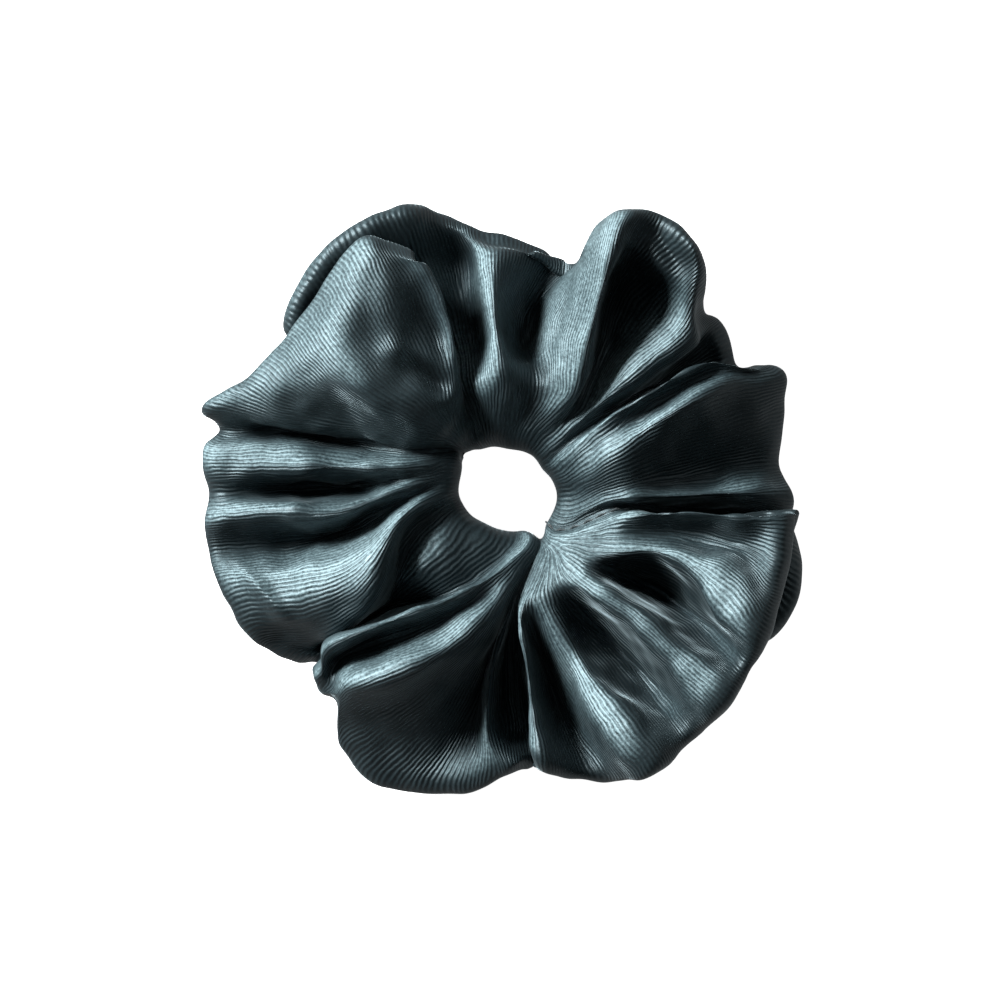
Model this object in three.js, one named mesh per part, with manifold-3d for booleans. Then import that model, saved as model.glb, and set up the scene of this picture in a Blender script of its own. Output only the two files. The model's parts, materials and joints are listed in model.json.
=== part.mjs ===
// A gathered velvet scrunchie: a velvet sleeve, closed on itself, that hides a loop of flat elastic.
// Millimetres, +Z up. The loop lies flat on z = 0 with the origin under the middle of its overall
// size. Angles are in degrees from +X towards +Y, round the axis of the hole. The sleeve, the band
// and the long seam's thread are each cut into lengths where two puffs meet, so that the loop can
// open out as the real one does, and the puff that holds the closing seam is cut in two there.
import * as THREE from "three";
import { mergeVertices } from "three/addons/utils/BufferGeometryUtils.js";
import Module from "manifold-3d";

// The puffs in order round the loop. reach is the crown's distance from the axis and top its height.
// gather and hole are the outer and inner distances where a puff meets the next one, at angle "to".
const PUFFS = [
  { to: 38, gather: 46, hole: 7.4, reach: 51.5, top: 28, pleats: 2 },
  { to: 75, gather: 42, hole: 8, reach: 54.5, top: 31, pleats: 3 },
  { to: 105, gather: 50, hole: 8.2, reach: 50, top: 28, pleats: 2 },
  { to: 150, gather: 47.5, hole: 8.6, reach: 56, top: 31, pleats: 3 },
  { to: 188, gather: 50, hole: 9, reach: 54.5, top: 32, pleats: 3 },
  { to: 230, gather: 46, hole: 7.4, reach: 53, top: 30, pleats: 3 },
  { to: 262, gather: 50.5, hole: 7.8, reach: 56, top: 30, pleats: 2 },
  { to: 292, gather: 50, hole: 9, reach: 54, top: 28, pleats: 2 },
  { to: 325, gather: 49.5, hole: 8.2, reach: 54, top: 31, pleats: 3 },
  { to: 363, gather: 46.5, hole: 8.4, reach: 53.5, top: 30, pleats: 2 },
];
const LINK_GAP = 0.3;

// The gather between two puffs: how far it falls from the top and how far it lifts off the table
const GATHER_DROP = 5;
const GATHER_LIFT = 2;
const PLEAT_DEPTH = 2.2;
const STATIONS_PER_PLEAT = 4;
const PROFILE_STEPS = 20;

// The flat elastic band, standing on edge in the sleeve, and the lap of its two ends
const BAND = { radius: 18.5, thick: 1.2, width: 6, middle: 14, chamfer: 0.25, stepAngle: 9 };
const LAP = { angle: 23, lead: 2, stepAngle: 2.5, out: BAND.thick + LINK_GAP };

// The sleeve's channel round the band, and the tunnel round the thread of the long seam
const CHANNEL = { from: 16.2, to: 21.6, low: 9.8, high: 18.2, stepAngle: 6 };
const SEAM = { radius: 27, height: 4.5, tunnel: 1.7, stitch: 2.7, wave: 0.25 };
const THREAD_RADIUS = 0.28;
const TACK = { stitches: 5, reach: 2.1 };
const CLOSING_GROOVE = { depth: 1.3, width: 1.3 };

const MATERIALS = {
  velvet: new THREE.MeshStandardMaterial({ color: 0x1d2c30, roughness: 0.7, metalness: 0 }),
  elastic: new THREE.MeshStandardMaterial({ color: 0x1b1c1e, roughness: 0.9, metalness: 0 }),
  thread: new THREE.MeshStandardMaterial({ color: 0x22343a, roughness: 0.6, metalness: 0 }),
};

const wasm = await Module();
wasm.setup();

const { degToRad, lerp, mapLinear, smoothstep } = THREE.MathUtils;

function radialAt(angle) {
  return new THREE.Vector3(Math.cos(degToRad(angle)), Math.sin(degToRad(angle)), 0);
}

function tangentAt(angle) {
  return new THREE.Vector3(-Math.sin(degToRad(angle)), Math.cos(degToRad(angle)), 0);
}

// A point in the upright plane at an angle, moved aside out of that plane.
function pointAt(angle, radius, z, aside = 0) {
  return radialAt(angle).multiplyScalar(radius).addScaledVector(tangentAt(angle), aside).setZ(z);
}

// A closed mesh through rings of points, with a fan at each end or joined end to end.
function loft(rings, joined = false) {
  const n = rings[0].length;
  const points = rings.flat();
  const faces = [];
  const spans = joined ? rings.length : rings.length - 1;
  for (let i = 0; i < spans; i++) {
    const a = i * n;
    const b = ((i + 1) % rings.length) * n;
    for (let j = 0; j < n; j++) {
      const k = (j + 1) % n;
      faces.push([a + j, b + j, b + k], [a + j, b + k, a + k]);
    }
  }
  if (!joined) {
    closeEnd(points, faces, 0, n);
    closeEnd(points, faces, (rings.length - 1) * n, n);
  }
  return facingOut(points, faces);
}

function closeEnd(points, faces, start, n) {
  const middle = new THREE.Vector3();
  for (let j = 0; j < n; j++) middle.addScaledVector(points[start + j], 1 / n);
  const centre = points.push(middle) - 1;
  for (let j = 0; j < n; j++) {
    const k = (j + 1) % n;
    faces.push(start === 0 ? [centre, start + j, start + k] : [centre, start + k, start + j]);
  }
}

function facingOut(points, faces) {
  let volume = 0;
  for (const [a, b, c] of faces) volume += points[a].dot(points[b].clone().cross(points[c]));
  const index = faces.flatMap(([a, b, c]) => (volume < 0 ? [a, c, b] : [a, b, c]));
  return new THREE.BufferGeometry().setFromPoints(points).setIndex(index);
}

function solidOf(geometry) {
  const merged = mergeVertices(geometry, 1e-4);
  return new wasm.Manifold(
    new wasm.Mesh({
      numProp: 3,
      vertProperties: merged.attributes.position.array,
      triVerts: new Uint32Array(merged.index.array),
    }),
  );
}

function geometryOf(solid) {
  const mesh = solid.getMesh();
  return new THREE.BufferGeometry()
    .setAttribute("position", new THREE.BufferAttribute(new Float32Array(mesh.vertProperties), 3))
    .setIndex(new THREE.BufferAttribute(mesh.triVerts, 1));
}

// The sleeve's section at t, from -1 at a puff's start, through 0 at its crown, to 1 at its end.
// It is rounded, fuller towards the top, and flat where it lies on the table.
function sleeveSection(puff, t, inset = 0) {
  const along = (t + 1) / 2;
  const gathered = Math.abs(t) ** 2.4;
  const fold = (PLEAT_DEPTH * (1 + Math.cos(Math.PI * puff.pleats * (t + 1)))) / 2;
  const edge = lerp(puff.before.gather, puff.gather, along);
  const inner = lerp(puff.before.hole, puff.hole, along) + inset;
  const outer = lerp(puff.reach, edge, gathered) - fold - inset;
  const floor = GATHER_LIFT * Math.max(0, 2 * Math.abs(t) - 1) + inset;
  const top = puff.top - GATHER_DROP * gathered - fold - inset;
  const section = [];
  for (let i = 0; i < PROFILE_STEPS; i++) {
    const turn = (2 * Math.PI * i) / PROFILE_STEPS;
    const across = Math.sign(Math.cos(turn)) * Math.abs(Math.cos(turn)) ** 0.85;
    const up = Math.sign(Math.sin(turn)) * Math.abs(Math.sin(turn)) ** 0.85;
    const rise = Math.max(0, 0.44 + 0.56 * up);
    section.push([mapLinear(across, -1, 1, inner, outer), lerp(floor, top, rise)]);
  }
  return section;
}

// A length of the sleeve from t = start to t = end of a puff, with the channel and tunnel cut out.
// An end in the middle of a puff is the closing seam, and its edge is turned in to hold the thread.
function sleeveLength(puff, start, end) {
  const steps = (STATIONS_PER_PLEAT * puff.pleats * (end - start)) / 2;
  const rings = [];
  for (let i = 0; i <= steps; i++) {
    const t = lerp(start, end, i / steps);
    const inward = i === 0 ? 1 : i === steps ? -1 : 0;
    const atSeam = inward !== 0 && t === 0;
    const ring = (aside, inset) =>
      sleeveSection(puff, t, inset).map(([r, z]) => pointAt(angleIn(puff, t), r, z, aside));
    const cut = ring((inward * LINK_GAP) / 2, atSeam ? CLOSING_GROOVE.depth : 0);
    const lip = atSeam ? [ring(inward * CLOSING_GROOVE.width, 0)] : [];
    rings.push(...(inward > 0 ? [cut, ...lip] : [...lip, cut]));
  }
  return geometryOf(solidOf(loft(rings)).subtract(channel).subtract(tunnel));
}

function angleIn(puff, t) {
  return lerp(puff.before.to, puff.to, (t + 1) / 2);
}

// A bar of rectangular section bent right round the loop.
function ringBar(from, to, low, high) {
  const corners = [[from, low], [to, low], [to, high], [from, high]];
  const rings = [];
  for (let angle = 0; angle < 360; angle += CHANNEL.stepAngle) {
    rings.push(corners.map(([r, z]) => pointAt(angle, r, z)));
  }
  return solidOf(loft(rings, true));
}

// A length of the band between two angles; radiusAt gives the middle of its thickness, and
// gaps are the distances that its two ends are held back.
function bandLength(from, to, gaps, stepAngle, radiusAt = () => BAND.radius) {
  const x = BAND.thick / 2;
  const z = BAND.width / 2;
  const c = BAND.chamfer;
  const corners = [
    [-x, c - z],
    [c - x, -z],
    [x - c, -z],
    [x, c - z],
    [x, z - c],
    [x - c, z],
    [c - x, z],
    [-x, z - c],
  ];
  const steps = Math.ceil((to - from) / stepAngle);
  const rings = [];
  for (let i = 0; i <= steps; i++) {
    const angle = lerp(from, to, i / steps);
    const aside = i === 0 ? gaps[0] : i === steps ? -gaps[1] : 0;
    rings.push(corners.map(([r, h]) => pointAt(angle, radiusAt(angle) + r, BAND.middle + h, aside)));
  }
  return loft(rings);
}

// A thread: a thin tube of square section along points, each with a direction square to the thread.
function thread(stops, joined = false) {
  const n = stops.length;
  const rings = stops.map(({ point, side }, i) => {
    const before = stops[joined ? (i + n - 1) % n : Math.max(0, i - 1)].point;
    const after = stops[joined ? (i + 1) % n : Math.min(n - 1, i + 1)].point;
    const across = after.clone().sub(before).normalize().cross(side);
    return [0, 1, 2, 3].map((corner) =>
      point
        .clone()
        .addScaledVector(side, THREAD_RADIUS * Math.cos((corner * Math.PI) / 2))
        .addScaledVector(across, THREAD_RADIUS * Math.sin((corner * Math.PI) / 2)),
    );
  });
  return loft(rings, joined);
}

// A thread that goes up and down between two angles, on a cylinder round the hole's axis.
function wavyThread(from, to, radius, height, reach, waves) {
  const stops = [];
  for (let i = 0; i <= 2 * waves; i++) {
    const angle = lerp(from, to, i / (2 * waves));
    const z = height + (i % 2 ? reach : -reach);
    stops.push({ point: pointAt(angle, radius, z), side: radialAt(angle) });
  }
  return thread(stops);
}

function seamThread(from, to) {
  const trim = THREE.MathUtils.radToDeg((THREAD_RADIUS + LINK_GAP) / SEAM.radius);
  const stitches = Math.round((degToRad(to - from) * SEAM.radius) / SEAM.stitch);
  return wavyThread(from + trim, to - trim, SEAM.radius, SEAM.height, SEAM.wave, stitches);
}

function tackThread(middle) {
  const radius = BAND.radius - BAND.thick / 2 - THREAD_RADIUS - LINK_GAP / 2;
  const half = LAP.angle / 2;
  return wavyThread(middle - half, middle + half, radius, BAND.middle, TACK.reach, TACK.stitches);
}

function closingThread(puff) {
  const angle = angleIn(puff, 0);
  const stops = sleeveSection(puff, 0, THREAD_RADIUS + LINK_GAP / 4).map(([r, z]) => ({
    point: pointAt(angle, r, z),
    side: tangentAt(angle),
  }));
  return thread(stops, true);
}

PUFFS.forEach((puff, i) => {
  const before = PUFFS.at(i - 1);
  puff.before = { ...before, to: i === 0 ? before.to - 360 : before.to };
});

const channel = ringBar(CHANNEL.from, CHANNEL.to, CHANNEL.low, CHANNEL.high);
const tunnel = ringBar(
  SEAM.radius - SEAM.tunnel / 2,
  SEAM.radius + SEAM.tunnel / 2,
  SEAM.height - SEAM.tunnel / 2,
  SEAM.height + SEAM.tunnel / 2,
);

const scrunchie = new THREE.Group();

function add(name, geometry, material) {
  const mesh = new THREE.Mesh(geometry, MATERIALS[material]);
  mesh.name = name;
  scrunchie.add(mesh);
}

const whole = PUFFS.slice(0, -1);
const last = PUFFS.at(-1);
const seamAngle = angleIn(last, 0);
const lapFrom = seamAngle - LAP.angle / 2;
const lapTo = seamAngle + LAP.angle / 2;
const endGap = LINK_GAP / 2;

// End b of the band laps outside end a, so it steps outward just before the lap.
const lapRadius = (angle) =>
  BAND.radius + LAP.out * smoothstep(angle, last.before.to, lapFrom - LAP.lead);

add("sleeve_end_a", sleeveLength(last, 0, 1), "velvet");
add("elastic_end_a", bandLength(lapFrom, last.to, [0, endGap], LAP.stepAngle), "elastic");
add("seam_thread_end_a", seamThread(seamAngle, last.to), "thread");

whole.forEach((puff, i) => {
  const from = puff.before.to;
  const band = bandLength(from, puff.to, [endGap, endGap], BAND.stepAngle);
  add(`sleeve_puff_${i + 1}`, sleeveLength(puff, -1, 1), "velvet");
  add(`elastic_length_${i + 1}`, band, "elastic");
  add(`seam_thread_${i + 1}`, seamThread(from, puff.to), "thread");
});

const lappedBand = bandLength(last.before.to, lapTo, [endGap, 0], LAP.stepAngle, lapRadius);
add("sleeve_end_b", sleeveLength(last, -1, 0), "velvet");
add("elastic_end_b", lappedBand, "elastic");
add("seam_thread_end_b", seamThread(last.before.to, seamAngle), "thread");
add("elastic_tack_thread", tackThread(seamAngle), "thread");
add("closing_seam_thread", closingThread(last), "thread");

// The origin goes under the middle of the overall size.
const size = new THREE.Box3().setFromObject(scrunchie);
const middle = size.getCenter(new THREE.Vector3());
scrunchie.position.set(-middle.x, -middle.y, -size.min.z);

export default scrunchie;
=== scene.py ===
import json
import math

import bpy
import mathutils
import numpy as np
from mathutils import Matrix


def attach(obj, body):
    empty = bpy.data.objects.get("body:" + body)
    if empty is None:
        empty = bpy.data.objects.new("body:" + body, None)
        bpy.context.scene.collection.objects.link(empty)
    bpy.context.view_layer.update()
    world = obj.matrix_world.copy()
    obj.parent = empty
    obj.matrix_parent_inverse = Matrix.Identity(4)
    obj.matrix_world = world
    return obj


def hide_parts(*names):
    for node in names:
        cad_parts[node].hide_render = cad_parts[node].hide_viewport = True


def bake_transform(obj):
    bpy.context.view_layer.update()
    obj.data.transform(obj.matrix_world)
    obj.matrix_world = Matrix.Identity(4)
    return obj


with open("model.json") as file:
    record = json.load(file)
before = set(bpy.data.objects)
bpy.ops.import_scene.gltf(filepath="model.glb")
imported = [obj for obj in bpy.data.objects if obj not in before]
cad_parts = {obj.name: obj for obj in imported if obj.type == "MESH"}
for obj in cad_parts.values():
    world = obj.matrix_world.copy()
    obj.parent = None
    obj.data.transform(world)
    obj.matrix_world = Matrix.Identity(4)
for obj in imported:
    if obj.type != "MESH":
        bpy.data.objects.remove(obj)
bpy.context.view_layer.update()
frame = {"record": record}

RECORD = frame["record"]
HOLE_BOX = RECORD["physics"]["openings"][0]["box_m"]
AXIS = np.array([(HOLE_BOX[0][k] + HOLE_BOX[1][k]) / 2 for k in (0, 1)])
MM = 0.001

# ---------------------------------------------------------------- the camera
# The camera looks straight down. The picture is VIEW_WIDTH across at the height of the folds, and
# the hole's middle lies right of and above the picture's centre by these shares of the picture.
HOLE_IN_VIEW = (0.0106, 0.0082)
VIEW_WIDTH = 0.1725
VIEW_DISTANCE = 0.75
CREST_HEIGHT = 0.02
SENSOR = 36


def add_camera():
    data = bpy.data.cameras.new("camera")
    data.sensor_width = SENSOR
    data.lens = SENSOR * (VIEW_DISTANCE - CREST_HEIGHT) / VIEW_WIDTH
    data.clip_start, data.clip_end = 0.01, 20
    cam = bpy.data.objects.new("camera", data)
    x = AXIS[0] - HOLE_IN_VIEW[0] * VIEW_WIDTH
    y = AXIS[1] - HOLE_IN_VIEW[1] * VIEW_WIDTH
    cam.location = (x, y, VIEW_DISTANCE)
    bpy.context.scene.collection.objects.link(cam)
    bpy.context.scene.camera = cam


# ---------------------------------------------------------------- the sleeve's folds
# Everything down to the materials is in millimetres, from the hole's axis and the table.
# Each line runs from the hole to the sleeve's outer edge along a ridge or a valley.
# Angles are in degrees round the hole, at 10, 19, 30 and 41 mm from its axis and at the outer edge;
# heights are those of the upper layer of cloth at the same five places; the last number is how far
# out the edge lies. Where an angle goes back, the cloth folds under or over its neighbour.
RADII = (10, 19, 30, 41)
FOLDS = [
    ("seam_lobe_left", (318, 350, 346, 335.5, 327), (14, 18.5, 10, 8, 7), 50),
    ("seam_lobe_fold", (320, 351.5, 349.5, 343, 335), (14, 18.5, 10, 11, 12), 53),
    ("seam_lobe_middle", (322, 353, 352.5, 348, 343), (14.5, 18.5, 10, 10, 11), 53.5),
    ("seam_lobe_right", (325, 354.5, 355.5, 354.5, 352), (14.5, 18.5, 11, 9, 7), 50.5),
    ("j_low_rise", (333, 355, 358.5, 359.5, 360), (16, 22, 21.5, 20, 14), 48.8),
    ("j_valley", (342, 361, 364, 366, 366), (15, 21, 16, 13.5, 10), 47.3),
    ("j_middle", (356, 371, 374, 376, 376), (16, 22.5, 20, 16.5, 11), 49.8),
    ("j_ridge", (372, 383, 387, 386.5, 383.5), (17, 24, 26, 23, 15.5), 51.8),
    ("j_dip", (380, 389, 391, 389.5, 385.5), (16.5, 22, 22, 20.5, 15), 50.8),
    ("j_rim", (394, 398, 395.7, 393, 387), (17, 23.5, 26, 24.5, 17), 48.5),
    ("j_under", (396, 398.5, 395, 392, 390), (15, 18.5, 14, 12, 9), 45.5),
    ("k_low_tuck", (401, 400.5, 398, 397, 398), (15, 18.5, 14, 13, 10), 47.3),
    ("k_low_ridge", (405, 403, 400, 399, 403), (17, 22, 24, 23, 18), 45.8),
    ("k_low_slope", (409, 407, 406, 405, 407), (16.5, 22, 24, 25, 23), 49),
    ("k_inside", (415, 411, 415, 417, 413.5), (15.5, 20, 14, 16.5, 27), 53),
    ("k_tuck", (420, 413.5, 420.5, 424, 421), (15.5, 20, 16, 17, 25), 53.7),
    ("k_ridge", (424, 414.5, 422.5, 426, 428), (17, 24, 29, 31, 28), 52.2),
    ("k_flank", (433, 424, 432, 431.5, 432), (16.5, 23, 22, 24, 23), 48.3),
    ("a_valley", (444, 438, 446, 437, 435.5), (15.5, 20.5, 12, 11, 9), 40.5),
    ("a_face", (452, 448, 451, 445, 444), (16, 22.5, 17, 14.5, 11), 43.5),
    ("a_ridge", (462, 455, 456, 456, 457), (17, 24, 23, 18.5, 12), 46.5),
    ("a_dark", (472, 467, 464, 463, 464), (16, 21, 12, 11, 11), 50),
    ("a_roll_start", (478, 473, 470, 471, 471), (15, 18.5, 11, 13, 16), 53.2),
    ("a_roll", (479, 477, 478, 484, 484), (15, 18.5, 10, 13, 17), 53.5),
    ("a_roll_low", (480, 478, 484, 494, 497), (15, 18.5, 10, 12, 15), 51.5),
    ("a_roll_end", (481, 479, 488, 501, 505), (15, 18.5, 10, 10, 12), 48.5),
    ("a_turn", (482, 480, 486, 499, 503), (14, 18.5, 10, 8, 7), 45),
    ("b_under", (484, 478, 476, 478, 482), (13, 18.5, 14, 13, 11), 44),
    ("b_right_rim", (490, 477.5, 469.5, 470, 472), (16.5, 23, 25, 25.5, 22), 44.5),
    ("b_streak", (492, 481, 475, 475, 476), (17, 24.5, 22.5, 24.5, 22), 47.6),
    ("b_crown_right", (494, 488, 483, 481, 480.5), (17.5, 26, 26.5, 27.5, 22.5), 50),
    ("b_crown", (496, 494, 494, 492, 491), (18, 27, 29, 28.5, 22), 48.5),
    ("b_crown_left", (498.5, 502, 505, 502, 500), (18, 27, 30.5, 28, 21), 47.2),
    ("b_flank", (500.5, 509, 513, 514, 512), (17.5, 24.5, 24, 24, 19), 47.8),
    ("b_wing", (501.2, 512.5, 517, 519, 518.5), (17.3, 23, 21.5, 21, 16.5), 50.8),
    ("b_left_rim", (502, 515.5, 521, 524, 525), (17, 21.5, 19.5, 18.5, 14), 55.6),
    ("c_tuck", (503, 518, 522.5, 525, 528), (13, 18.5, 13, 12, 10), 51.5),
    ("c_slope", (505, 522, 526, 528, 531), (16, 20.5, 16, 17, 13), 54.3),
    ("c_ridge_one", (511, 528, 532.5, 535, 536), (17, 22.5, 22, 19, 13), 53.6),
    ("c_pocket", (519, 534, 539, 540, 540.5), (16, 19, 11, 12, 11), 52.4),
    ("c_ridge_two", (526, 539, 547, 545, 545), (17, 22, 23, 20, 13), 53.5),
    ("d_valley", (532, 546, 554, 553, 551), (16, 18.5, 12, 11, 10), 54.3),
    ("d_crown_left", (538, 551, 562, 560, 557), (17, 23.5, 24, 20, 13), 52.7),
    ("d_crown_right", (544, 556, 574, 573, 568), (17.5, 24, 26, 20, 12), 52),
    ("d_fold", (547, 562, 579.5, 578.5, 572.5), (16, 20, 24, 16, 10), 51),
    ("d_low", (556, 568, 581.5, 579.5, 575.5), (15.5, 19, 14, 10, 8), 49.3),
    ("e_ridge", (568, 577, 581, 579, 577), (17, 21.5, 13, 9, 7), 48.6),
    ("e_slope", (598, 590, 583, 580, 579), (17, 21, 12, 8, 6.5), 48),
    ("f_under", (636, 602, 584, 579, 581), (14, 18.5, 11, 8, 6), 45.5),
    ("f_rim", (648, 604.5, 587.2, 580.6, 583), (17.5, 25.5, 27.5, 26, 20), 46.8),
    ("f_groove", (650.5, 612, 593.5, 584.5, 586.5), (17, 22.5, 21.5, 20.5, 17), 48.4),
    ("f_ridge", (652.3, 621, 604.5, 591.5, 590), (16.5, 24, 28, 27, 21), 46.8),
    ("f_plane", (653.6, 626, 613, 603, 596), (16, 23, 25, 22, 13), 53),
    ("f_slope", (654.6, 628.5, 619.5, 613, 606), (15.5, 21, 19.5, 17, 10.5), 55.9),
    ("g_valley", (655.4, 630.5, 622.5, 621.5, 619), (14, 18.5, 13.5, 14, 12), 53),
    ("g_rim", (656, 632, 624, 624.3, 627), (14.3, 20.5, 20.5, 21, 17), 50.5),
    ("g_inside", (656.5, 632.6, 628.5, 630, 632), (14, 18.5, 12, 13, 17), 48.8),
    ("g_tuck", (657, 633.4, 634, 634.5, 635), (13.7, 18.5, 13, 12, 12), 47.7),
    ("h_left_rim", (658.5, 634.3, 635.3, 635.7, 636), (16.5, 21.5, 25, 28, 26), 48),
    ("h_groove", (660.5, 640, 641, 643.5, 646.5), (17, 21.5, 15, 16, 19.5), 52.6),
    ("h_tongue_left", (662, 645, 648.5, 651.5, 655.5), (17.2, 22, 22, 28.5, 29), 53.9),
    ("h_tongue", (663.5, 650, 653, 656.5, 659), (17.3, 22, 23, 29, 29), 53.7),
    ("h_dark", (665.5, 657, 663.5, 665.7, 666), (17.5, 21.5, 13, 15, 23), 53),
    ("h_crown_left", (667, 664.5, 671.8, 672.3, 673), (17.5, 23.5, 26, 29.5, 29.5), 51.9),
    ("h_crown", (668.8, 670, 677, 677.5, 678), (17.5, 24, 27, 30.5, 30), 51.5),
    ("h_pocket", (670.8, 680, 686, 685.5, 683.5), (17.5, 22, 10, 17, 27), 51),
    ("h_right_crown", (672.5, 686, 696.5, 690.5, 688), (17.5, 22.5, 25.5, 30, 29.5), 50.4),
    ("h_right_shoulder", (673.8, 691, 700.5, 698, 693), (17.5, 22.5, 26, 30, 29), 49.9),
    ("h_slope", (675.7, 699, 706.5, 706.5, 704), (17, 21.5, 20.5, 24, 25), 49.3),
    ("h_top_rim", (678, 707, 713.5, 714.5, 716.5), (17, 22.5, 27, 28, 24), 49.3),
]
# Smaller folds that cross the long ones, as a rise or dip of the upper layer: where it lies from the
# hole's axis, which way it runs in degrees, its half length, its half width and its height.
DENTS = [
    ((24.0, 39.6), -47, 5.5, 2.2, 2.6),
    ((27.4, 42.3), -55, 6.5, 2.0, -2.2),
    ((21.6, 28.3), 20, 3.5, 2.5, 1.6),
    ((-14.4, 20.1), -45, 4.5, 1.6, -3.4),
    ((-17.7, 23.2), -20, 4.5, 2.0, 1.6),
    ((-42.9, -17.3), -48, 6.0, 1.3, 1.8),
    ((-37.5, -25.0), -12, 5.5, 2.5, -2.6),
    ((-33.0, 1.5), 0, 8.0, 1.3, -3.0),
    ((-27.6, -28.0), 22, 6.0, 1.7, -2.4),
    ((-20.3, -31.2), 27, 11.0, 2.4, 1.8),
    ((31.8, 15.8), 33, 7.5, 2.0, 2.0),
    ((31.0, 20.3), 26, 7.0, 1.4, -2.0),
    ((3.3, 27.9), 70, 5.0, 1.7, -3.5),
    ((-7.0, 33.0), 100, 11.0, 1.6, -2.4),
]
# The line that each link of the loop keeps still: the closing seam, then puffs 1 to 9.
HELD_LINES = ["seam_lobe_left", "j_ridge", "k_inside", "a_ridge", "b_crown", "c_ridge_one",
              "d_crown_right", "f_plane", "h_left_rim", "h_crown"]
# The hole's radius by angle.
HOLE = ((0, 8.4), (35, 7.1), (65, 8.6), (90, 7.8), (125, 9.2), (140, 10.3), (150, 8.8), (190, 9.1),
        (215, 7.3), (260, 7.2), (285, 7.2), (294, 8), (300, 10.8), (307, 11.2), (316, 8.8), (340, 8),
        (360, 8.4))
# The hole's upper lip lies RIM_STEP out from its narrowest place. The outer edge is rounded over
# EDGE_IN and EDGE_UP.
RIM_STEP = 2
EDGE_IN, EDGE_UP = 2.0, 2.7
# The lines that lie over a neighbouring fold; on all the others the sleeve reaches down to the table.
RAISED_LINES = ("b_under", "b_right_rim", "b_streak", "b_crown_right", "b_crown", "b_crown_left",
                "h_slope", "h_top_rim", "j_rim")
RAISED_THICKNESS = (12, 11, 8.5)  # of a raised fold, at 19, 30 and 41 mm from the hole's axis
# The lowest that a fold line and the finished cloth may lie.
FLOOR_GAP, LOWEST = 0.9, 0.3
# The highest that the hole's lower lip lies, and the least that it lies below the upper one.
LIP_HEIGHT, LIP_DEPTH = 8.5, 8
# The lofted surface: the radius at which distances round the loop are measured, the points of a
# section that lie on its upper layer and edge, and the steps its curves are first worked out in.
MIDDLE_RADIUS = 34
OUTER_POINTS = slice(2, 9)
LONG_STEPS, ROUND_STEPS, ROW_SAMPLES = 6000, 700, 2048
# How far the cloth's stiffness smooths a fold, by distance from the hole's axis.
STIFFNESS_AT, STIFFNESS = (9, 13, 20, 30), (1.9, 1.5, 1.2, 1.1)
# The small folds press into cloth that faces up, and that lies above this height, fading over this much.
PRESS_ABOVE, PRESS_FADE = 9, 4
# The cloth's unevenness, from a fixed seed: wavelength, height and number of waves.
WAVES = ((16, 0.24, 9), (8, 0.12, 12), (4.5, 0.05, 12))
WAVE_SEED = 7
# The middle of each link, in degrees round the hole, from the closing seam and back to it.
LINK_MIDDLES = (-16, 20.5, 56.5, 90, 127.5, 169, 209, 246, 277, 308.5, 344)
# The elastic: its last BAND_STEP_FROM degrees step outward by BAND_STEP, so that its ends lap.
BAND_RADIUS, BAND_THICK, BAND_WIDTH, BAND_MIDDLE = 18.5, 1.1, 5.9, 14
BAND_LAP, BAND_STEP, BAND_STEP_FROM, BAND_STEP_OVER = 23, 1.5, 20, 6
BAND_WAVE, BAND_WAVES, BAND_RINGS = 0.12, 20, 40
# The sewing thread dips under the cloth by its swing between stitches.
THREAD_RADIUS, THREAD_STEP, THREAD_SIDES = 0.2, 0.3, 6
THREAD_LIFT, THREAD_SWING, STITCH = 0.02, 0.22, 2.7
SEAM_RADIUS, SEAM_BELOW = 27, 14  # the long seam lies this far from the axis and below this height
# The sleeve's grid: steps along it and points round it.
NU = 1500
NV = 168


def centripetal(points, knots, at):
    """Catmull-Rom through points (n, ...) at knots, evaluated at the values in at."""
    n = len(points)
    out = np.empty((len(at),) + points.shape[1:])
    seg = np.clip(np.searchsorted(knots, at, side="right") - 1, 0, n - 2)
    for i in np.unique(seg):
        rows = np.flatnonzero(seg == i)
        t = at[rows].reshape((-1,) + (1,) * (points.ndim - 1))
        t1, t2 = knots[i], knots[i + 1]
        p1, p2 = points[i], points[i + 1]
        if i > 0:
            t0, p0 = knots[i - 1], points[i - 1]
        else:
            t0, p0 = knots[0] - (knots[1] - knots[0]), 2 * points[0] - points[1]
        if i + 2 < n:
            t3, p3 = knots[i + 2], points[i + 2]
        else:
            t3, p3 = knots[-1] + (knots[-1] - knots[-2]), 2 * points[-1] - points[-2]
        a1 = (t1 - t) / (t1 - t0) * p0 + (t - t0) / (t1 - t0) * p1
        a2 = (t2 - t) / (t2 - t1) * p1 + (t - t1) / (t2 - t1) * p2
        a3 = (t3 - t) / (t3 - t2) * p2 + (t - t2) / (t3 - t2) * p3
        b1 = (t2 - t) / (t2 - t0) * a1 + (t - t0) / (t2 - t0) * a2
        b2 = (t3 - t) / (t3 - t1) * a2 + (t - t1) / (t3 - t1) * a3
        out[rows] = (t2 - t) / (t2 - t1) * b1 + (t - t1) / (t2 - t1) * b2
    return out


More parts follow.
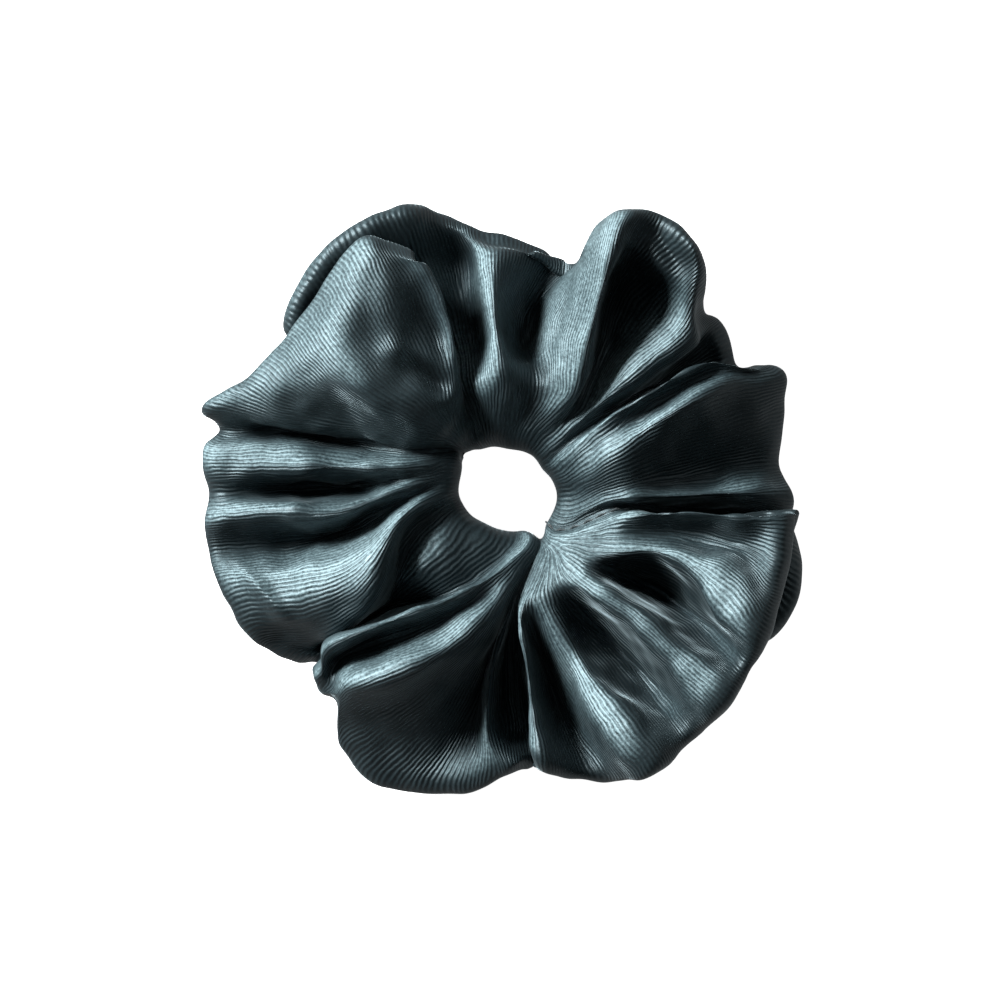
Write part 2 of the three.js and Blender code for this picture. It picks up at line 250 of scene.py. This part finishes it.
def section_stations(line):
    """The thirteen points of the sleeve's section on a fold line, as (angle, radius, height)."""
    name, angles, heights, reach = line
    hole = np.interp(angles[0] % 360, *zip(*HOLE))
    inside = (hole + RIM_STEP,) + RADII[1:]
    top = [(a, r, z) for a, r, z in zip(angles[:4], inside, heights[:4])]
    angle, z = angles[4], heights[4]
    rim = [(angle, reach - EDGE_IN, z + EDGE_UP), (angle, reach, z)]
    if name in RAISED_LINES:
        rim += [(angle, reach - EDGE_IN, z - EDGE_UP), (angle, reach - 5, z - 6.5)]
        low = [z - thick for z, thick in zip(heights[1:4], RAISED_THICKNESS)]
    else:
        tuck = min(1, max(0, (28 - heights[3]) / 13))
        rim += [(angle, reach - 0.6 - 3.4 * tuck, 0.58 * z),
                (angle, reach - 4.5 - 3.5 * tuck, max(1.2, 0.16 * z))]
        low = [FLOOR_GAP + 0.4 * max(0, 25 - z) for z in heights[1:4]]
        low = [min(z_low, z - 3) for z_low, z in zip(low, heights[1:4])]
    low[0] = min(low[0], LIP_HEIGHT)
    under = [(angles[3], 38, low[2]), (angles[2], 30, low[1]), (angles[1], 19, low[0])]
    under.append((angles[0], inside[0] + 0.5, min(LIP_HEIGHT, heights[0] - LIP_DEPTH)))
    under = [(a, r, max(FLOOR_GAP, z)) for a, r, z in under]
    inner = (angles[0], hole, (heights[0] + under[-1][2]) / 2)
    return np.array([inner] + top + rim + under, float)


def loft_sleeve():
    """The sleeve as a grid of points (NU + 1, NV, 3), in millimetres, and where each fold line falls."""
    table = np.array([section_stations(line) for line in FOLDS])
    again = table[0].copy()
    again[:, 0] += 360
    ahead, behind = table[1].copy(), table[-1].copy()
    ahead[:, 0] += 360
    behind[:, 0] -= 360
    full = np.concatenate([[behind], table, [again], [ahead]])
    scale = np.array([math.pi / 180 * MIDDLE_RADIUS, 1, 1])
    chord = np.linalg.norm(np.diff(full, axis=0) * scale, axis=2)
    knots = np.concatenate([[0], np.cumsum(np.sqrt(chord[:, OUTER_POINTS].mean(axis=1)))])
    first, last = knots[1], knots[-2]
    fine = np.linspace(first, last, LONG_STEPS)
    curve = centripetal(full, knots, fine)
    step = np.linalg.norm(np.diff(curve, axis=0) * scale, axis=2)[:, OUTER_POINTS].mean(axis=1)
    length = np.concatenate([[0], np.cumsum(step)])
    at = np.interp(np.linspace(0, length[-1], NU + 1), length, fine)
    stations = centripetal(full, knots, at)
    line_at = np.interp(np.interp(knots[1:-1], fine, length), [0, length[-1]], [0, NU])
    return close_sections(stations), line_at, length[-1]


def close_sections(stations):
    """Turns the stations (n, 13, 3) into closed rings of NV points each."""
    a = np.radians(stations[..., 0])
    radius, height = stations[..., 1], stations[..., 2]
    xyz = np.stack([radius * np.cos(a), radius * np.sin(a), height], axis=-1)
    ring = np.concatenate([xyz[:, -2:], xyz, xyz[:, :3]], axis=1)
    gaps = np.linalg.norm(np.diff(ring, axis=1), axis=2).mean(axis=0)
    knots = np.concatenate([[0], np.cumsum(np.sqrt(gaps))])
    fine = np.linspace(knots[2], knots[-3], ROUND_STEPS)
    curve = centripetal(ring.transpose(1, 0, 2), knots, fine).transpose(1, 0, 2)
    step = np.linalg.norm(np.diff(curve, axis=1), axis=2).mean(axis=0)
    length = np.concatenate([[0], np.cumsum(step)])
    at = np.interp(np.linspace(0, length[-1], NV + 1)[:-1], length, fine)
    return centripetal(ring.transpose(1, 0, 2), knots, at).transpose(1, 0, 2)


def soften(points, width):
    """Smooths each lengthwise row of the grid over a fixed distance of cloth, in millimetres."""
    out = points.copy()
    turns = np.fft.rfftfreq(ROW_SAMPLES) * 2 * math.pi
    for j in range(points.shape[1]):
        row = points[:, j]
        length = np.concatenate([[0], np.cumsum(np.linalg.norm(np.diff(row, axis=0), axis=1))])
        even = np.linspace(0, length[-1], ROW_SAMPLES + 1)[:-1]
        spread = width[j] / (length[-1] / ROW_SAMPLES)
        for k in range(3):
            wave = np.fft.rfft(np.interp(even, length, row[:, k])) * np.exp(-0.5 * (turns * spread) ** 2)
            smooth = np.fft.irfft(wave, ROW_SAMPLES)
            out[:, j, k] = np.interp(length, np.append(even, length[-1]), np.append(smooth, smooth[0]))
    return out


def dented(points, normals):
    """The grid with the smaller crossing folds pressed into its upper layer."""
    faces_up = np.clip(normals[..., 2] * 2.5 + 0.2, 0, 1)
    upper = faces_up * np.clip((points[..., 2] - PRESS_ABOVE) / PRESS_FADE, 0, 1)
    out = points.copy()
    for (x, y), way, length, width, height in DENTS:
        c, t = math.cos(math.radians(way)), math.sin(math.radians(way))
        along = (points[..., 0] - x) * c + (points[..., 1] - y) * t
        across = (points[..., 1] - y) * c - (points[..., 0] - x) * t
        out[..., 2] += height * upper * np.exp(-((along / length) ** 4) - (across / width) ** 2)
    return out


def undulation(points):
    """A soft unevenness of the cloth: smooth noise over space, from a fixed seed."""
    draw = np.random.default_rng(WAVE_SEED)
    field = np.zeros(points.shape[:2])
    for wavelength, height, count in WAVES:
        for _ in range(count):
            way = draw.normal(size=3)
            way *= 2 * math.pi / wavelength / np.linalg.norm(way)
            phase = draw.uniform(0, 2 * math.pi)
            field += height / math.sqrt(count) * 1.6 * np.sin(points @ way + phase)
    return field


def grid_normals(points):
    """Unit normals of a grid (NU + 1, NV, 3) whose first and last rows coincide."""
    body = points[:-1]
    along = np.roll(body, -1, axis=0) - np.roll(body, 1, axis=0)
    around = np.roll(body, -1, axis=1) - np.roll(body, 1, axis=1)
    n = np.cross(around, along)
    n /= np.maximum(np.linalg.norm(n, axis=2, keepdims=True), 1e-9)
    return np.concatenate([n, n[:1]])


# ---------------------------------------------------------------- materials
RIB_PITCH = 0.0006  # metres
RIB_WOBBLE, RIB_WOBBLE_SCALE = 9, 220
RIB_BUMP, TUFT_BUMP, BUMP_DEPTH = 0.32, 0.25, 0.0002
TUFT_SCALE = 1700
# The velvet's colour ramp, from painted shade in a furrow to a painted highlight on a ridge lit by the
# key light.
PILE_AND_PAINTED_LIGHT_COLORS = ((0, (0.002, 0.0036, 0.0043, 1)), (0.2, (0.013, 0.023, 0.027, 1)),
               (0.5, (0.062, 0.096, 0.106, 1)), (1, (0.21, 0.3, 0.325, 1)))
THREAD_COLORS = ((0.006, 0.012, 0.014, 1), (0.03, 0.05, 0.056, 1))
ELASTIC_COLORS = ((0.004, 0.004, 0.005, 1), (0.03, 0.03, 0.033, 1))
THREAD_SCALE, ELASTIC_SCALE = 6000, 3000
PAINTED_LIGHT_WAY = np.array([-0.62, 0.47, 0.63])  # roughly the key light's direction: cloth facing it is painted paler, a painted highlight
PAINTED_CREST_SPREAD, PAINTED_CREST_HIGH = 3.0, 1.6  # painted highlight on a ridge and painted shade in a furrow; a ridge is this far above the cloth smoothed over this distance
LIGHT_FACING_FROM, LIGHT_FACING_OVER = 0.48, 0.46  # how far cloth has to face the key light's way before it is painted paler
SOFT_PASSES = 12
LEAST_STRETCH, LEAST_OCTAVE = 0.05, -4


def new_material(name):
    m = bpy.data.materials.new(name)
    m.use_nodes = True
    return m, m.node_tree, m.node_tree.nodes["Principled BSDF"]


def math_node(tree, operation, *values):
    """A Math node; each value is a number or another node's output."""
    n = tree.nodes.new("ShaderNodeMath")
    n.operation = operation
    for i, value in enumerate(values):
        if isinstance(value, (int, float)):
            n.inputs[i].default_value = value
        else:
            tree.links.new(value, n.inputs[i])
    return n.outputs["Value"]


def attribute(tree, name):
    n = tree.nodes.new("ShaderNodeAttribute")
    n.attribute_name = name
    return n


def noise(tree, scale, detail, rough=0.5):
    n = tree.nodes.new("ShaderNodeTexNoise")
    n.inputs["Scale"].default_value = scale
    n.inputs["Detail"].default_value = detail
    n.inputs["Roughness"].default_value = rough
    tree.links.new(attribute(tree, "rest").outputs["Vector"], n.inputs["Vector"])
    return n.outputs["Fac"]


def rib_wave(tree, wobble):
    """Ribs across the sleeve that keep their pitch where the cloth is gathered."""
    octave = attribute(tree, "gather").outputs["Fac"]
    coarse = math_node(tree, "POWER", 2, math_node(tree, "FLOOR", octave))
    turn = math_node(tree, "MULTIPLY", attribute(tree, "rib").outputs["Fac"], 2 * math.pi / RIB_PITCH)
    turn = math_node(tree, "MULTIPLY", turn, coarse)
    first = math_node(tree, "SINE", math_node(tree, "ADD", turn, wobble))
    second = math_node(tree, "SINE", math_node(tree, "MULTIPLY_ADD", turn, 2, wobble))
    share = math_node(tree, "MULTIPLY_ADD", math_node(tree, "FRACT", octave), 2.5, -1.5)
    share = math_node(tree, "MAXIMUM", share, 0)
    return math_node(tree, "MULTIPLY_ADD", math_node(tree, "SUBTRACT", second, first), share, first)


def velvet():
    m, tree, shader = new_material("velvet")
    link = tree.links.new
    shader.inputs["Roughness"].default_value = 0.5
    shader.inputs["IOR"].default_value = 1.6
    shader.inputs["Specular IOR Level"].default_value = 0.5
    shader.inputs["Specular Tint"].default_value = (0.72, 0.93, 1, 1)
    shader.inputs["Sheen Weight"].default_value = 0.4
    shader.inputs["Sheen Roughness"].default_value = 0.25
    shader.inputs["Sheen Tint"].default_value = (0.6, 0.78, 0.84, 1)
    wobble = math_node(tree, "MULTIPLY", noise(tree, RIB_WOBBLE_SCALE, 2), RIB_WOBBLE)
    ribs = rib_wave(tree, wobble)
    tufts = noise(tree, TUFT_SCALE, 2, 0.7)
    flat = attribute(tree, "flat").outputs["Fac"]
    ribs = math_node(tree, "MULTIPLY", ribs, flat)
    rib_height = math_node(tree, "MULTIPLY_ADD", ribs, 0.2, -0.05)
    height = math_node(tree, "MULTIPLY_ADD", tufts, 1.1, rib_height)
    bump = tree.nodes.new("ShaderNodeBump")
    bump.inputs["Strength"].default_value = 1
    bump.inputs["Distance"].default_value = BUMP_DEPTH
    tuft_bump = math_node(tree, "MULTIPLY", math_node(tree, "MULTIPLY", tufts, flat), TUFT_BUMP)
    link(math_node(tree, "MULTIPLY_ADD", ribs, RIB_BUMP, tuft_bump), bump.inputs["Height"])
    link(bump.outputs["Normal"], shader.inputs["Normal"])
    pile_and_painted_light = tree.nodes.new("ShaderNodeValToRGB")
    pile_and_painted_light.color_ramp.elements[0].color = PILE_AND_PAINTED_LIGHT_COLORS[0][1]
    pile_and_painted_light.color_ramp.elements[1].color = PILE_AND_PAINTED_LIGHT_COLORS[-1][1]
    for position, color in PILE_AND_PAINTED_LIGHT_COLORS[1:-1]:
        pile_and_painted_light.color_ramp.elements.new(position).color = color
    # Base colour with painted light and shade: the painted light attribute, times the velvet's own grain
    # and ribs, picks a tone from dark furrow to lit ridge.
    crest = attribute(tree, "crest").outputs["Fac"]
    tone = math_node(tree, "MULTIPLY", math_node(tree, "MULTIPLY_ADD", crest, 1.5, 0.1), height)
    link(tone, pile_and_painted_light.inputs["Fac"])
    link(pile_and_painted_light.outputs["Color"], shader.inputs["Base Color"])
    return m


def spun(name, colors, scale):
    """A plain twisted yarn or knitted band, in two tones."""
    m, tree, shader = new_material(name)
    shader.inputs["Roughness"].default_value = 0.75
    shader.inputs["Sheen Weight"].default_value = 0.3
    grain = noise(tree, scale, 3, 0.6)
    ramp = tree.nodes.new("ShaderNodeValToRGB")
    ramp.color_ramp.elements[0].color, ramp.color_ramp.elements[1].color = colors
    tree.links.new(grain, ramp.inputs["Fac"])
    tree.links.new(ramp.outputs["Color"], shader.inputs["Base Color"])
    bump = tree.nodes.new("ShaderNodeBump")
    bump.inputs["Distance"].default_value = 0.0001
    tree.links.new(grain, bump.inputs["Height"])
    tree.links.new(bump.outputs["Normal"], shader.inputs["Normal"])
    return m


# ---------------------------------------------------------------- pieces
def mesh_piece(name, points, faces, material, **values):
    """A smooth mesh object in metres; values are point attributes for its material."""
    mesh = bpy.data.meshes.new(name)
    mesh.from_pydata(points.tolist(), [], faces.tolist())
    mesh.polygons.foreach_set("use_smooth", [True] * len(mesh.polygons))
    for key, value in {"rest": points, **values}.items():
        kind = "FLOAT_VECTOR" if value.ndim == 2 else "FLOAT"
        layer = mesh.attributes.new(key, kind, "POINT")
        field = "vector" if value.ndim == 2 else "value"
        layer.data.foreach_set(field, value.astype(np.float32).ravel())
    mesh.materials.append(material)
    mesh.update()
    piece = bpy.data.objects.new(name, mesh)
    bpy.context.scene.collection.objects.link(piece)
    return piece


def ring_faces(rings, sides):
    """Quads between rings of points, each ring closed on itself."""
    i, j = np.meshgrid(np.arange(rings - 1), np.arange(sides), indexing="ij")
    k = (j + 1) % sides
    corners = [i * sides + j, i * sides + k, (i + 1) * sides + k, (i + 1) * sides + j]
    return np.stack(corners, axis=-1).reshape(-1, 4)


def blend_along(piece, share):
    """Writes each point's share of the way along the piece into its points, bakes the piece's place into
    them and puts the points back.
    """
    mesh = piece.data
    still = np.empty(len(mesh.vertices) * 3, np.float32)
    mesh.vertices.foreach_get("co", still)
    along = np.zeros((len(mesh.vertices), 3), np.float32)
    along[:, 0] = share
    mesh.vertices.foreach_set("co", along.ravel())
    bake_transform(piece)
    mesh.vertices.foreach_set("co", still)
    mesh.update()


def make_sleeve():
    """The whole sleeve, in millimetres: its points and normals, the row each body holds, its length."""
    points, line_at, length = loft_sleeve()
    radius = np.hypot(points[..., 0], points[..., 1]).mean(axis=0)
    points = dented(points, grid_normals(points))
    points = soften(points, np.interp(radius, STIFFNESS_AT, STIFFNESS))
    points += grid_normals(points) * undulation(points)[..., None]
    points[-1] = points[0]
    points[..., 2] = np.maximum(points[..., 2], LOWEST)
    names = [line[0] for line in FOLDS]
    held = [int(round(line_at[names.index(n)])) for n in HELD_LINES] + [NU]
    return points, grid_normals(points), held, length


def placed(points):
    return points * MM + np.array([AXIS[0], AXIS[1], 0])


def add_sleeve(points, normals, held, length, material):
    """The sleeve as ten pieces; gather and flat tell its material how the cloth lies, and a third
    attribute carries the light and shade painted into its colour.
    """
    spacing = np.linalg.norm(np.diff(points, axis=0), axis=2) / (length / NU)
    spacing = np.concatenate([spacing, spacing[:1]])
    octave = np.clip(np.log2(np.maximum(soft_field(spacing), LEAST_STRETCH)), LEAST_OCTAVE, 0)
    # Painted light and shade for the velvet's base colour.
    crest = crest_field(points, normals)
    flat = soft_field(np.clip(1.9 * np.abs(normals[..., 2]) - 0.25, 0.05, 1))
    for i in range(10):
        rows = np.arange(held[i], held[i + 1] + 1)
        part = placed(points[rows]).reshape(-1, 3)
        rib = np.repeat(rows / NU * length * MM, NV)
        piece = mesh_piece(f"velvet_sleeve_{i + 1}", part, ring_faces(len(rows), NV), material,
                           rib=rib, gather=octave[rows].ravel(), crest=crest[rows].ravel(),
                           flat=flat[rows].ravel())
        piece.data.normals_split_custom_set_from_vertices(normals[rows].reshape(-1, 3).tolist())
        blend_along(piece, np.repeat((rows - rows[0]) / (rows[-1] - rows[0]), NV))
        replace_nodes("sleeve", "sleeve_puff", i)


def replace_nodes(kind, link, i):
    """Piece i runs from one link's middle to the next one's: it stands for the CAD length between."""
    if i == 0:
        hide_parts(f"{kind}_end_a", f"{link}_1")
    elif i < 9:
        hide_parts(f"{link}_{i + 1}")
    else:
        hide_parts(f"{kind}_end_b")


def crest_field(points, normals):
    """Painted light and shade: near 1 on a ridge that faces the key light, a painted highlight; low in
    furrows and on cloth turned from the light, painted shade.
    """
    wide = soften(points, np.full(NV, PAINTED_CREST_SPREAD))
    # Ridges painted paler and furrows darker, as light and shade fall on them.
    crest = np.clip(0.5 + ((points - wide) * normals).sum(axis=2) / PAINTED_CREST_HIGH, 0, 1)
    # Cloth that faces the key light painted paler, cloth turned away painted darker.
    facing_light = np.clip((soft_field(normals @ PAINTED_LIGHT_WAY) - LIGHT_FACING_FROM) / LIGHT_FACING_OVER, 0, 1)
    facing_light = facing_light * facing_light * (3 - 2 * facing_light)
    return (0.25 + 0.75 * crest) * (0.12 + 0.88 * facing_light)


def soft_field(values):
    """A smoothed copy of a field over the grid."""
    for _ in range(SOFT_PASSES):
        values = (values + np.roll(values, 1, 0) + np.roll(values, -1, 0)) / 3
        values = (values + np.roll(values, 1, 1) + np.roll(values, -1, 1)) / 3
    return values


def add_thread(name, path, normals, material):
    """A sewing thread along a path on the cloth, in millimetres, that dips under it between stitches."""
    step = np.linalg.norm(np.diff(path, axis=0), axis=1)
    length = np.concatenate([[0], np.cumsum(step)])
    at = np.arange(0, length[-1], THREAD_STEP)
    at = np.append(at[: len(at) - 1], length[-1])
    share = np.interp(at, length, np.linspace(0, 1, len(path)))
    line = np.stack([np.interp(at, length, path[:, k]) for k in range(3)], axis=1)
    up = np.stack([np.interp(at, length, normals[:, k]) for k in range(3)], axis=1)
    up /= np.linalg.norm(up, axis=1, keepdims=True)
    way = np.gradient(line, axis=0)
    way /= np.linalg.norm(way, axis=1, keepdims=True)
    side = np.cross(way, up)
    side /= np.linalg.norm(side, axis=1, keepdims=True)
    line = line + up * (THREAD_LIFT + THREAD_SWING * np.cos(2 * math.pi * at / STITCH))[:, None]
    turn = np.radians(np.arange(THREAD_SIDES) * 360 / THREAD_SIDES)
    rings = line[:, None] + THREAD_RADIUS * (np.cos(turn)[None, :, None] * up[:, None]
                                             + np.sin(turn)[None, :, None] * side[:, None])
    piece = mesh_piece(name, placed(rings).reshape(-1, 3), ring_faces(len(line), THREAD_SIDES), material)
    return piece, np.repeat(share, THREAD_SIDES)


def add_long_seam(points, normals, held, material):
    """The seam along the sleeve's underside, on the row of the grid that lies nearest SEAM_RADIUS."""
    radius = np.hypot(points[..., 0], points[..., 1]).mean(axis=0)
    low = points[..., 2].mean(axis=0) < SEAM_BELOW
    j = int(np.argmin(np.where(low, np.abs(radius - SEAM_RADIUS), np.inf)))
    for i in range(10):
        rows = np.arange(held[i], held[i + 1] + 1)
        piece, share = add_thread(f"long_seam_{i + 1}", points[rows, j], normals[rows, j], material)
        blend_along(piece, share)
        replace_nodes("seam_thread", "seam_thread", i)


def add_closing_seam(points, normals, material):
    """The seam round the sleeve where its two ends meet."""
    loop = np.append(np.arange(NV), 0)
    piece, _ = add_thread("closing_seam", points[0, loop], normals[0, loop], material)
    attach(piece, "end_a")
    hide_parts("closing_seam_thread")


def add_elastic(material):
    """The flat elastic band, standing on edge inside the sleeve; its two ends lap at the closing seam."""
    half = BAND_LAP / 2
    for i in range(10):
        start, stop = LINK_MIDDLES[i], LINK_MIDDLES[i + 1]
        angles = np.linspace(start - half * (i == 0), stop + half * (i == 9), BAND_RINGS)
        share = np.clip((angles - start) / (stop - start), 0, 1)
        lift = np.clip((angles - stop + BAND_STEP_FROM) / BAND_STEP_OVER, 0, 1) * (i == 9)
        radius = BAND_RADIUS + BAND_STEP * lift
        radius = radius + BAND_WAVE * np.sin(np.radians(angles * BAND_WAVES))
        a = np.radians(angles)[:, None]
        across = np.array([1, -1, -1, 1]) * BAND_THICK / 2
        up = np.array([-1, -1, 1, 1]) * BAND_WIDTH / 2 + BAND_MIDDLE
        r = radius[:, None] + across
        rings = np.stack([r * np.cos(a), r * np.sin(a), np.broadcast_to(up, r.shape)], axis=-1)
        faces = ring_faces(BAND_RINGS, 4)
        piece = mesh_piece(f"elastic_band_{i + 1}", placed(rings).reshape(-1, 3), faces, material)
        piece.data.polygons.foreach_set("use_smooth", [False] * len(piece.data.polygons))
        blend_along(piece, np.repeat(share, 4))
        replace_nodes("elastic", "elastic_length", i)


# ---------------------------------------------------------------- the stage
FLOOR_HALF = 1.5
# The surroundings: how bright they are at the horizon and from SKY_LOW upward.
SKY_HORIZON, SKY_HIGH, SKY_LOW = (0.36, 0.36, 0.36, 1), (0.05, 0.05, 0.05, 1), 0.45
# Soft square lights aimed at the scrunchie: name, place, side and power.
LIGHTS = (("key", (-0.71, 0.47, 0.5), 0.32, 28), ("fill", (0.5, 0.6, 0.6), 0.6, 0.8))


def add_floor():
    """A plain white floor that sends no light of its own back onto the cloth."""
    corners = [(x * FLOOR_HALF, y * FLOOR_HALF, 0) for x, y in ((-1, -1), (1, -1), (1, 1), (-1, 1))]
    floor = bpy.data.meshes.new("floor")
    floor.from_pydata(corners, [], [(0, 1, 2, 3)])
    floor_object = bpy.data.objects.new("floor", floor)
    bpy.context.scene.collection.objects.link(floor_object)
    m, _, shader = new_material("floor")
    shader.inputs["Base Color"].default_value = (0.9, 0.9, 0.9, 1)
    shader.inputs["Roughness"].default_value = 0.9
    shader.inputs["Emission Color"].default_value = (1, 1, 1, 1)
    shader.inputs["Emission Strength"].default_value = 1
    floor.materials.append(m)
    floor_object.visible_diffuse = False
    floor_object.visible_glossy = False


def add_surroundings():
    """Soft light from all round, brightest at the horizon."""
    world = bpy.data.worlds.new("world")
    world.use_nodes = True
    sky = world.node_tree
    way = sky.nodes.new("ShaderNodeTexCoord")
    split = sky.nodes.new("ShaderNodeSeparateXYZ")
    ramp = sky.nodes.new("ShaderNodeValToRGB")
    ramp.color_ramp.elements[0].color = SKY_HORIZON
    ramp.color_ramp.elements[1].position = SKY_LOW
    ramp.color_ramp.elements[1].color = SKY_HIGH
    sky.links.new(way.outputs["Generated"], split.inputs["Vector"])
    sky.links.new(split.outputs["Z"], ramp.inputs["Fac"])
    sky.links.new(ramp.outputs["Color"], sky.nodes["Background"].inputs["Color"])
    bpy.context.scene.world = world


def add_lights():
    for name, where, size, power in LIGHTS:
        data = bpy.data.lights.new(name, "AREA")
        data.size, data.energy = size, power
        light = bpy.data.objects.new(name, data)
        light.location = where
        aim = mathutils.Vector(-np.array(where))
        light.rotation_euler = aim.to_track_quat("-Z", "Y").to_euler()
        bpy.context.scene.collection.objects.link(light)


add_camera()
sleeve_points, sleeve_normals, held_rows, sleeve_length = make_sleeve()
add_sleeve(sleeve_points, sleeve_normals, held_rows, sleeve_length, velvet())
thread_material = spun("thread", THREAD_COLORS, THREAD_SCALE)
add_long_seam(sleeve_points, sleeve_normals, held_rows, thread_material)
add_closing_seam(sleeve_points, sleeve_normals, thread_material)
add_elastic(spun("elastic", ELASTIC_COLORS, ELASTIC_SCALE))
bpy.data.objects["elastic_tack_thread"].material_slots[0].material = thread_material
add_floor()
add_surroundings()
add_lights()
bpy.context.scene.view_settings.view_transform = "Standard"
